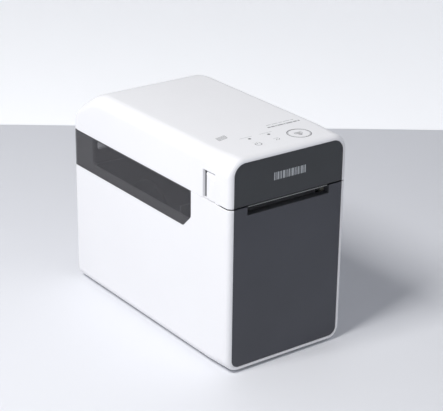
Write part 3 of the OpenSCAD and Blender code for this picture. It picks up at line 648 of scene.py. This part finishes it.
def build_lid():
    o = loft("lid_cover", [lid_ring(y) for y in lid_stations()], "case_white")
    rings = []
    for y in (YF + 5, -96, -84, -60, 0, 40, 58, 61, 64, 67, 70, 73, 76, 79, 83, 87, 91, 95, 98, 100, 102, 103.5, 104.4, YR - 2.5):
        zi = lid_in(y)
        ri = min(7.5 + 3.4 * (1 - smoothstep((y - YF) / 36)), (zi - ZL) * 0.7)
        rings.append([(x, y, z) for x, z in rrect(-XI, ZL - 5, XI, zi, (0, 0, ri, ri), 7)])
    cav = loft("cav", rings)
    for s in (-1, 1):
        x0, x1 = sorted((s * (HW - 5.6), s * (HW + 1)))
        cut(cav, boxm("pk", (x0, YF + 15, ZL - 9), (x1, YF + 36, ZL + 24)))
    cav.data.materials.append(M["case_inside"])
    cut_in(o, cav)
    # step inside the front part of the edge; its faces take the near-black material as painted shade in the seam
    ys = [YF + 0.8 + 3.4 * (1 - math.sin(math.radians(90 * (1 - i / 6)))) for i in range(7)] + [-100, -96, -91.5]
    rings = []
    for y in ys:
        t = max(0.0, min(1.0, 1 - (y - 0.8 - YF) / FILL))
        h = HW - DX * (1 - math.sqrt(max(0.0, 1 - t * t))) - 0.8
        rings.append([(-h, y, ZL - 4), (h, y, ZL - 4), (h, y, ZL + 1.2), (-h, y, ZL + 1.2)])
    cut_in(o, loft("rb", rings, "painted_gap_shade"))
    cut(o, prism("fr", rrect(PU_LO[0] - 0.2, ZL - 6, PU_HI[0] + 0.2, PU_HI[2] + 0.2, (0, 0, 9.7, 9.7), 14), YF - 1, YF + PT + 0.2, "y"))
    for s in (-1, 1):
        plan = [(HW + 1, -90.0), (HW - 3, -90.0), (HW - 3, -77.0), (HW - 1.9, -77.0), (HW - 1.9, -75.5), (HW, -74.8), (HW + 1, -74.5)]
        cut(o, prism("lp", [(s * x, y) for x, y in plan], ZL + 0.12, ZL + 22.4, "z"))
        # deep slot behind the lever; its faces take the mid grey case_inside as painted shade in the gap
        deep = [(HW - 2.9, -79.6), (HW - 5.1, -79.6), (HW - 5.1, -74.5), (HW - 1.95, -74.5), (HW - 1.95, -75.45), (HW - 1.8, -75.45), (HW - 1.8, -77.2), (HW - 2.9, -77.2)]
        cut_in(o, prism("ld", [(s * x, y) for x, y in deep], ZL + 0.4, ZL + 22.2, "z", "case_inside"))
        # shallow line above the windows' front end
        x0, x1 = sorted((s * (HW - 0.07), s * (HW + 1)))
        cut(o, prism("fl", rrect(-59.5, 146.2, -59.1, 158.6, 0.15, 3), x0, x1, "x"))
        x0, x1 = sorted((s * 40, s * 54))
        cut(o, cyl("ls", 2.6, (SH_Y, SH_Z), x0, x1, "x", None, 32))
    # hinge barrels, notches and bores
    for s in (-1, 1):
        for a, b in ((30, 38), (46, XI + 0.5)):
            x0, x1 = sorted((s * a, s * b))
            add(o, cyl("hb", 3.6, (HY, HZ), x0, x1, "x", "case_white", 40))
        x0, x1 = sorted((s * 38, s * 46))
        cut(o, boxm("hn", (x0, HY - 4.2, ZL - 6), (x1, YR + 1, HZ + 4)))
        x0, x1 = sorted((s * 29, s * 51))
        cut(o, cyl("hbore", 1.55, (HY, HZ), x0, x1, "x", None, 24))
    # holes for the controls
    cut(o, cyl("h1", (FB_HI[0] - FB_LO[0]) / 2 - 1.3 + 0.14, (FX, FY), ZT - 6, ZT + 1, "z", None, 96))
    cut(o, cyl("h2", (PB_HI[0] - PB_LO[0]) / 2 - 1.3 + 0.08, (OX, OY), ZT - 6, ZT + 1, "z", None, 64))
    for x in LXS:
        cut(o, cyl("h3", 1.27, (x, LY), ZT - 6, ZT + 1, "z", None, 32))
    clean(o)
    shade(o, 30)
    return finish_piece(o, "lid", "case_white", "lid_shell")


def build_panels():
    f = YF + 0.05
    # the lower panel takes the lighter copy of the panel plastic, painted light
    o = prism("front_cover", rrect(PL_LO[0], PL_LO[2], PL_HI[0], PL_HI[2] - 0.2, (6.5, 6.5, 0, 0), 16), f, f + PT, "y", "panel_dark_painted_light")
    # the exit throat and the slot's cut faces take the near-black material: painted shade inside the paper exit
    add(o, prism("th", rrect(-EX_HW - 1.3, EX_Z0 - 1.3, EX_HW + 1.3, PL_HI[2] - 0.2, (1.5, 1.5, 0, 0), 5), f + PT - 0.6, YF + 6.6, "y", "painted_gap_shade"))
    cut_in(o, prism("e", rrect(-EX_HW, EX_Z0, EX_HW, ZB + 3, (0.8, 0.8, 0, 0), 4), YF - 2, YF + 8, "y", "painted_gap_shade"))
    soften(o, 0.35, 3, 40)
    finish_piece(o, "base", "panel_dark", "front_panel_lower")
    u = prism("front_cover_upper", rrect(PU_LO[0], PU_LO[2] + 0.12, PU_HI[0], PU_HI[2], (0, 0, 9.5, 9.5), 18), f, f + PT, "y", "panel_dark")
    soften(u, 0.35, 3, 40)
    finish_piece(u, "lid", "panel_dark", "front_panel_upper")


def build_windows():
    ref = loft("ref", [case_ring(y) for y in ystations(FILL, 3.0, [YF + FILL + 6, -90, -80, -60, -20, 20, 60, YR - 7.0])], None)
    for s, nm in ((-1, "window_left"), (1, "window_right")):
        x0, x1 = sorted((s * (HW - 2.0), s * (HW + 1)))
        p = prism("smoked_" + nm, win_outline(0), x0, x1, "x", "window_smoke")
        boolean(p, ref, "INTERSECT", keep=True)
        p.data.materials.clear()
        p.data.materials.append(M["window_smoke"])
        soften(p, 0.22, 2, 50)
        finish_piece(p, "base", "window_smoke", nm)
    bpy.data.objects.remove(ref)


case = build_case()
lid = build_lid()
build_panels()
build_windows()


# ------------------------------------------------------------------ levers, buttons and marks
def lathe(name, prof, c, mat, n=96):
    """Closed solid of revolution about a vertical axis; prof runs from (0, z) to (0, z)."""
    v, f = [], []
    rings = []
    for r, z in prof:
        if r < 1e-6:
            rings.append([len(v)])
            v.append((c[0], c[1], z))
        else:
            rings.append(list(range(len(v), len(v) + n)))
            v += [(c[0] + r * math.cos(2 * math.pi * i / n), c[1] + r * math.sin(2 * math.pi * i / n), z) for i in range(n)]
    for a, b in zip(rings, rings[1:]):
        for i in range(n):
            j = (i + 1) % n
            if len(a) == 1 and len(b) > 1:
                f.append((a[0], b[j], b[i]))
            elif len(b) == 1 and len(a) > 1:
                f.append((a[i], a[j], b[0]))
            elif len(a) > 1:
                f.append((a[i], a[j], b[j], b[i]))
    return mk(name, v, f, mat)


def annulus(name, ri, ro, c, a, b, mat, n=96, a0=0.0, a1=360.0):
    """Flat ring, or part of one, from z = a to b."""
    full = a1 - a0 >= 359.9
    m = n if full else n + 1
    th = [math.radians(a0 + (a1 - a0) * i / n) for i in range(m)]
    v = []
    for r, z in ((ri, a), (ro, a), (ro, b), (ri, b)):
        v += [(c[0] + r * math.cos(t), c[1] + r * math.sin(t), z) for t in th]
    f = []
    for i in range(m if full else m - 1):
        j = (i + 1) % m
        for k in range(4):
            l = (k + 1) % 4
            f.append((k * m + i, k * m + j, l * m + j, l * m + i))
    if not full:
        f += [(0, m, 2 * m, 3 * m), (m - 1, 4 * m - 1, 3 * m - 1, 2 * m - 1)]
    return mk(name, v, f, mat)


def join(name, objs):
    """One object from several, each kept as its own closed shell."""
    bm = bmesh.new()
    mats = []
    for o in objs:
        k = len(bm.faces)
        bm.from_mesh(o.data)
        bm.faces.ensure_lookup_table()
        for m in o.data.materials:
            if m not in mats:
                mats.append(m)
        for f in bm.faces[k:]:
            f.material_index = mats.index(o.data.materials[f.material_index]) if o.data.materials else 0
    me = bpy.data.meshes.new(name)
    bm.to_mesh(me)
    bm.free()
    for m in mats:
        me.materials.append(m)
    for o in objs:
        bpy.data.objects.remove(o)
    r = bpy.data.objects.new(name, me)
    COL.objects.link(r)
    return r


def build_levers():
    for s, side in ((-1, "left"), (1, "right")):
        pts = [(-89.8, 136.4), (-89.56, 135.25), (-89.3, 134.97), (-83.6, 134.9), (-82.5, 135.05), (-80.3, 135.6), (-79.85, 135.85), (-79.7, 136.3),
               (-79.7, 152.8), (-79.55, 153.3), (-79.25, 153.7), (-79.15, 154.3), (-79.15, 154.9), (-79.3, 155.35), (-79.7, 155.6), (-89.2, 155.6), (-89.65, 155.4), (-89.8, 155.0)]
        x0, x1 = sorted((s * (HW - 2.55), s * (HW - 0.12)))
        o = prism("lever_cap_" + side, pts, x0, x1, "x", "lever_white")
        rings = []
        for y in (-92.0, -84.5, -77.0):
            zs = 153.2 + (y + 80.1) * 0.262
            c = [(HW + 1.5, zs)]
            for i in range(9):
                t = i / 8
                x = (1 - t) ** 2 * (HW - 0.10) + 2 * t * (1 - t) * (HW - 0.62) + t * t * (HW - 1.15)
                z = (1 - t) ** 2 * zs + 2 * t * (1 - t) * (zs + 1.2) + t * t * 156.4
                c.append((x, z))
            c.append((HW + 1.5, 156.4))
            rings.append([(s * x, y, z) for x, z in c])
        cut(o, loft("sc", rings))
        soften(o, 0.16, 2, 35)
        finish_piece(o, "latch", "case_white", "latch_lever_" + side)


def build_controls():
    zt = TOP - 0.03
    # feed key: round cap with a faintly dished top, on the lid's side a printed ring round it
    r = (FB_HI[0] - FB_LO[0]) / 2 - 1.3
    lo = FB_LO[2]
    cap = [(0, lo), (2.6, lo), (2.6, lo + 1.0), (r + 1.15, lo + 1.0), (r + 1.3, lo + 1.15), (r + 1.3, lo + 2.35), (r + 1.15, lo + 2.5), (r, lo + 2.5), (r, zt - 0.3),
           (r - 0.04, zt - 0.12), (r - 0.14, zt - 0.03), (r - 0.3, zt), (r - 1.6, zt - 0.02), (r * 0.5, zt - 0.12), (0, zt - 0.16)]
    o = lathe("feed_key_cap", cap, (FX, FY), "lever_white", 96)
    shade(o, 35)
    finish_piece(o, "feed_key", "case_white", "feed_button")
    r2 = (PB_HI[0] - PB_LO[0]) / 2 - 1.3
    lo = PB_LO[2]
    cap = [(0, lo), (2.6, lo), (2.6, lo + 1.0), (r2 + 1.2, lo + 1.0), (r2 + 1.3, lo + 1.1), (r2 + 1.3, lo + 2.4), (r2 + 1.2, lo + 2.5), (r2, lo + 2.5), (r2, TOP - 0.08),
           (r2 - 0.03, TOP - 0.03), (r2 - 0.1, TOP - 0.005), (r2 - 0.3, TOP), (0, TOP)]
    o = lathe("power_key_cap", cap, (OX, OY), "lever_white", 72)
    shade(o, 35)
    finish_piece(o, "power_key", "case_white", "power_button")
    # light pipes with domed tips
    ps = []
    for k, x in enumerate(LXS):
        z1 = ZT - 0.01
        ps.append(lathe("lp%d" % k, [(0, LP_LO[2]), (1.15, LP_LO[2]), (1.25, LP_LO[2] + 0.1), (1.25, TOP - 0.02), (1.05, TOP + 0.02), (0.6, z1 - 0.005), (0, z1)], (x, LY), "clear_pipe", 32))
    o = join("light_pipe_tips", ps)
    shade(o, 45)
    finish_piece(o, "lid", "clear_pipe", "light_pipes")
    # printed marks: plain strokes, no lettering
    a, b = TOP - 0.02, TOP + 0.028
    r = (FB_HI[0] - FB_LO[0]) / 2 - 1.3
    o = annulus("feed_ring_mark", r + 0.17, r + 0.78, (FX, FY), a, b, "ink_grey", 96)
    finish_piece(o, "lid", None)
    zf = zt - 0.03
    ks = [annulus("k0", r - 0.46, r - 0.30, (FX, FY), zf - 0.05, zt + 0.02, "ink_grey", 96)]
    # icon on the feed key: a sheet edge, two rows and an arrow head
    zi0, zi1 = zt - 0.2, zt - 0.06

    def bar(nm, x0, y0, x1, y1, w, z0_, z1_, mat):
        d = math.hypot(x1 - x0, y1 - y0)
        nx, ny = -(y1 - y0) / d * w / 2, (x1 - x0) / d * w / 2
        return prism(nm, [(x0 + nx, y0 + ny), (x0 - nx, y0 - ny), (x1 - nx, y1 - ny), (x1 + nx, y1 + ny)], z0_, z1_, "z", mat)
    cx, cy = FX, FY
    for k, (x0, y0, x1, y1, w) in enumerate([(-3.0, 2.4, 3.0, 2.4, 0.5), (-3.0, 2.15, -3.0, -0.6, 0.5), (3.0, 2.15, 3.0, -0.6, 0.5),
                                             (-1.9, 1.0, 1.9, 1.0, 0.55), (-1.9, -0.2, 1.9, -0.2, 0.55)]):
        ks.append(bar("ki%d" % k, cx + x0, cy + y0, cx + x1, cy + y1, w, zi0, zi1, "ink_soft"))
    ks.append(prism("kia", [(cx - 2.1, cy - 1.5), (cx, cy - 3.7), (cx + 2.1, cy - 1.5)], zi0, zi1, "z", "ink_soft"))
    o = join("feed_key_mark", ks)
    finish_piece(o, "feed_key", None)
    zp = TOP + 0.03
    ks = [annulus("p0", 2.15, 2.8, (OX, OY), TOP - 0.03, zp, "ink_soft", 60, 128, 412), bar("p1", OX, OY + 0.6, OX, OY + 3.2, 0.62, TOP - 0.03, zp, "ink_soft")]
    o = join("power_key_mark", ks)
    finish_piece(o, "power_key", None)
    ms = []
    for k, (x0, x1) in enumerate(((-21.2, -9.8), (-2.9, 8.6))):
        ms.append(bar("m%d" % k, x0, -73.6, x1, -73.6, 0.42, a, b, "ink_pale"))
    # ribbed roll mark on the left
    for k in range(8):
        x = -35.4 + k * 1.22
        ms.append(bar("h%d" % k, x, -67.6 + 0.25 * k, x + 0.7, -62.4 + 0.25 * k, 0.52, a, b, "ink_soft"))
    ms.append(bar("h8", -35.9, -68.3, -27.0, -66.6, 0.5, a, b, "ink_soft"))
    # state mark between the lights: short wave and a stub
    for k, (x0, y0, x1, y1) in enumerate([(0.2, -90.6, 1.6, -88.6), (1.6, -88.6, 3.0, -90.6), (3.0, -90.6, 4.4, -88.6), (-0.2, -86.9, 4.6, -86.9)]):
        ms.append(bar("w%d" % k, x0, y0, x1, y1, 0.45, a, b, "ink_soft" if k < 3 else "ink_pale"))
    # plain dashes where the case carries print
    x = 11.2
    for k, wd in enumerate((2.6, 3.4, 1.2, 5.2, 1.4, 6.0, 3.8, 1.6)):
        ms.append(bar("d%d" % k, x, -65.6, x + wd, -65.6, 1.9, a, b, "ink_mid"))
        x += wd + 0.75
    x = 13.2
    for k, wd in enumerate((4.2, 5.4, 3.2, 6.0, 2.6)):
        ms.append(bar("e%d" % k, x, -61.2, x + wd, -61.2, 0.8, a, b, "ink_pale"))
        x += wd + 1.1
    o = join("lid_marks", ms)
    finish_piece(o, "lid", None)
    # front: a plain row of upright bars
    fs = []
    x = -14.6
    y0, y1 = YF + 0.012, YF + 0.12
    for k, (wd, gap) in enumerate(((0.9, 0.7), (0.5, 0.9), (1.5, 0.7), (0.5, 0.6), (0.8, 1.0), (1.9, 0.7), (0.5, 0.7), (0.5, 0.9), (1.2, 0.8), (0.5, 0.6), (1.7, 0.9),
                                   (0.8, 0.7), (0.5, 0.8), (1.1, 0.7), (0.5, 0.9), (1.5, 0.7), (0.6, 0.6), (1.0, 0))):
        fs.append(prism("f%d" % k, [(x, 149.0), (x + wd, 149.0), (x + wd, 155.0), (x, 155.0)], y0, y1, "y", "ink_front"))
        x += wd + gap
    o = join("front_bars", fs)
    finish_piece(o, "lid", None)


# ------------------------------------------------------------------ carried-over pieces: softened edges
SOFT = {"screw_steel": 0.12, "gear_acetal": 0.07, "brass_pinion": 0.06, "board_green": 0.08, "bright_steel": 0.14, "steel": 0.16}
NO_BEVEL = {"head_springs", "latch_spring"}
DONE = ("lower_case", "lid_shell", "front_panel_lower", "front_panel_upper", "window_left", "window_right",
        "latch_lever_left", "latch_lever_right", "feed_button", "power_button", "light_pipes")


def dress_nodes():
    for n in sorted(N):
        if n in DONE:
            continue
        o = N[n]
        for p in o.data.polygons:
            p.use_smooth = True
        if n in NO_BEVEL:
            continue
        wl = o.modifiers.new("weld", "WELD")
        wl.merge_threshold = 1e-6
        d = o.modifiers.new("flat", "DECIMATE")
        d.decimate_type, d.angle_limit = "DISSOLVE", math.radians(1.0)
        b = o.modifiers.new("edge", "BEVEL")
        b.width = SOFT.get(SLOT[n], 0.25) * MM
        b.segments, b.limit_method, b.angle_limit = 2, "ANGLE", math.radians(38)
        b.use_clamp_overlap = True
        b.harden_normals = False
        w = o.modifiers.new("wn", "WEIGHTED_NORMAL")
        w.keep_sharp = False
        w.weight = 80


def build_ribs():
    """Stiffening ribs moulded under the liner."""
    lz = B("lid_liner")[1][2]
    z1 = ZL + 21.3
    o = boxm("liner_ribs", (-30.6, -52, z1 - 2.1), (-29.4, 74, z1), "inner_grey")
    add(o, *[boxm("r%d" % k, (x - 0.6, -52, z1 - 2.1), (x + 0.6, 74, z1), "inner_grey") for k, x in enumerate((0, 30))])
    add(o, *[boxm("t%d" % k, (-44, y - 0.6, z1 - 1.8), (44, y + 0.6, z1), "inner_grey") for k, y in enumerate((-34, 2, 38, 70))])
    soften(o, 0.22, 2, 40)
    return finish_piece(o, "lid", "inner_grey")


build_levers()
build_controls()
build_ribs()
dress_nodes()

# ------------------------------------------------------------------ stage, lights, camera
AZ, EL, ROLL = math.radians(36.40), math.radians(22.61), math.radians(0.71)
CAM = Vector((-646.8, -900.9, 550.9)) * MM
fw = Vector((math.sin(AZ) * math.cos(EL), math.cos(AZ) * math.cos(EL), -math.sin(EL)))
rt = fw.cross(Vector((0, 0, 1))).normalized()
up = rt.cross(fw)
right = rt * math.cos(ROLL) + up * math.sin(ROLL)
upv = -rt * math.sin(ROLL) + up * math.cos(ROLL)
cd = bpy.data.cameras.new("camera")
cd.sensor_width, cd.lens = 36.0, 1501.4 * 36 / 443
cd.clip_start, cd.clip_end = 0.05, 30
cam = bpy.data.objects.new("camera", cd)
COL.objects.link(cam)
cam.matrix_world = Matrix(((right.x, upv.x, -fw.x, CAM.x), (right.y, upv.y, -fw.y, CAM.y), (right.z, upv.z, -fw.z, CAM.z), (0, 0, 0, 1)))
SC.camera = cam


def build_stage():
    h = Vector((math.sin(AZ), math.cos(AZ), 0))      # away from the camera
    r = Vector((math.cos(AZ), -math.sin(AZ), 0))
    base = Vector((CAM.x, CAM.y, 0))
    d0 = 1.545                                       # the paler sheet starts here, level with the floor
    prof = [(-3.0, 0.0), (0.6, 0.0), (1.1, 0.0), (1.4, 0.0), (d0, 0.0), (2.2, 0.0), (3.2, 0.0), (6.0, 0.0)]
    v, f = [], []
    for d, z in prof:
        for s in (-4.0, -1.0, 1.0, 4.0):
            p = base + h * d + r * s
            v.append((p.x * 1000, p.y * 1000, z * 1000))
    for i in range(len(prof) - 1):
        for j in range(3):
            a = i * 4 + j
            f.append((a, a + 1, a + 5, a + 4))
    me = bpy.data.meshes.new("floor")
    me.from_pydata([(x * MM, y * MM, z * MM) for x, y, z in v], [], f)
    me.update()
    m, nt, bs, co = new_mat("floor_pale")
    n1 = noise(nt, co, 1.2, 2.0)
    c = ramp(nt, n1.outputs[0], [(0.3, (0.735, 0.745, 0.785)), (0.7, (0.755, 0.765, 0.80))])
    nt.links.new(c, bs.inputs["Base Color"])
    n2 = noise(nt, co, 500, 2.0)
    nt.links.new(rng(nt, n2.outputs[0], 0.5, 0.6), bs.inputs["Roughness"])
    bs.inputs["Specular IOR Level"].default_value = 0.25
    me.materials.append(m)
    m2, nt2, bs2, co2 = new_mat("backdrop_pale")
    n3 = noise(nt2, co2, 0.8, 1.0)
    nt2.links.new(ramp(nt2, n3.outputs[0], [(0.3, (0.78, 0.79, 0.815)), (0.7, (0.80, 0.81, 0.83))]), bs2.inputs["Base Color"])
    bs2.inputs["Roughness"].default_value = 0.8
    bs2.inputs["Emission Color"].default_value = (0.96, 0.97, 1.0, 1)
    bs2.inputs["Emission Strength"].default_value = 0.37
    me.materials.append(m2)
    for k, p in enumerate(me.polygons):
        if k // 3 >= 4:
            p.material_index = 1
    o = bpy.data.objects.new("floor", me)
    COL.objects.link(o)
    for p in me.polygons:
        p.use_smooth = True
    # a round sweep all the way about, outside every view's own distance
    R0, R1, H1, N = 2.6, 0.7, 2.0, 96
    prof = [(R0 - R1 + R1 * math.sin(math.radians(a)), 0.0004 + R1 - R1 * math.cos(math.radians(a))) for a in range(0, 91, 9)]
    prof.append((R0, H1))
    v = [(q * math.cos(2 * math.pi * k / N), q * math.sin(2 * math.pi * k / N), z) for q, z in prof for k in range(N)]
    f = [(i * N + k, i * N + (k + 1) % N, (i + 1) * N + (k + 1) % N, (i + 1) * N + k) for i in range(len(prof) - 1) for k in range(N)]
    mw = bpy.data.meshes.new("sweep")
    mw.from_pydata(v, [], f)
    mw.update()
    m3, nt3, bs3, co3 = new_mat("sweep_pale")
    n4 = noise(nt3, co3, 0.7, 1.0)
    nt3.links.new(ramp(nt3, n4.outputs[0], [(0.3, (0.76, 0.77, 0.80)), (0.7, (0.78, 0.79, 0.82))]), bs3.inputs["Base Color"])
    bs3.inputs["Roughness"].default_value = 0.85
    bs3.inputs["Emission Color"].default_value = (0.95, 0.97, 1.0, 1)
    bs3.inputs["Emission Strength"].default_value = 0.26
    mw.materials.append(m3)
    for p in mw.polygons:
        p.use_smooth = True
    ow = bpy.data.objects.new("sweep", mw)
    COL.objects.link(ow)


def area(name, loc, target, size, energy, col=(1, 1, 1), size_y=None):
    l = bpy.data.lights.new(name, "AREA")
    l.energy, l.color = energy, col
    l.shape = "RECTANGLE"
    l.size, l.size_y = size, size_y or size
    o = bpy.data.objects.new(name, l)
    COL.objects.link(o)
    o.location = loc
    o.rotation_mode = "QUATERNION"
    o.rotation_quaternion = (Vector(target) - Vector(loc)).to_track_quat("-Z", "Y")
    return o


build_stage()
w = bpy.data.worlds.new("world")
SC.world = w
w.use_nodes = True
w.node_tree.nodes["Background"].inputs[0].default_value = (0.90, 0.93, 1.0, 1)
w.node_tree.nodes["Background"].inputs[1].default_value = 0.165
SC.view_settings.view_transform = "Standard"
SC.view_settings.look = "None"
rv = Vector((math.cos(AZ), -math.sin(AZ), 0))
hv = Vector((math.sin(AZ), math.cos(AZ), 0))
KE = math.radians(53)
key = Vector((-math.cos(KE), -0.10, math.sin(KE))) * 1.35 + Vector((0, 0, 0.08))
area("key", key, (0, 0, 0.08), 0.46, 17.0, (1.0, 0.992, 0.98))
front = -hv * 1.6 - rv * 0.4 + Vector((0, 0, 1.0))
area("front", front, (0, 0, 0.08), 1.4, 0.75, (0.97, 0.98, 1.0))
area("left", (-1.5, 0.1, 0.35), (0, 0, 0.08), 1.6, 1.0, (0.98, 0.99, 1.0))
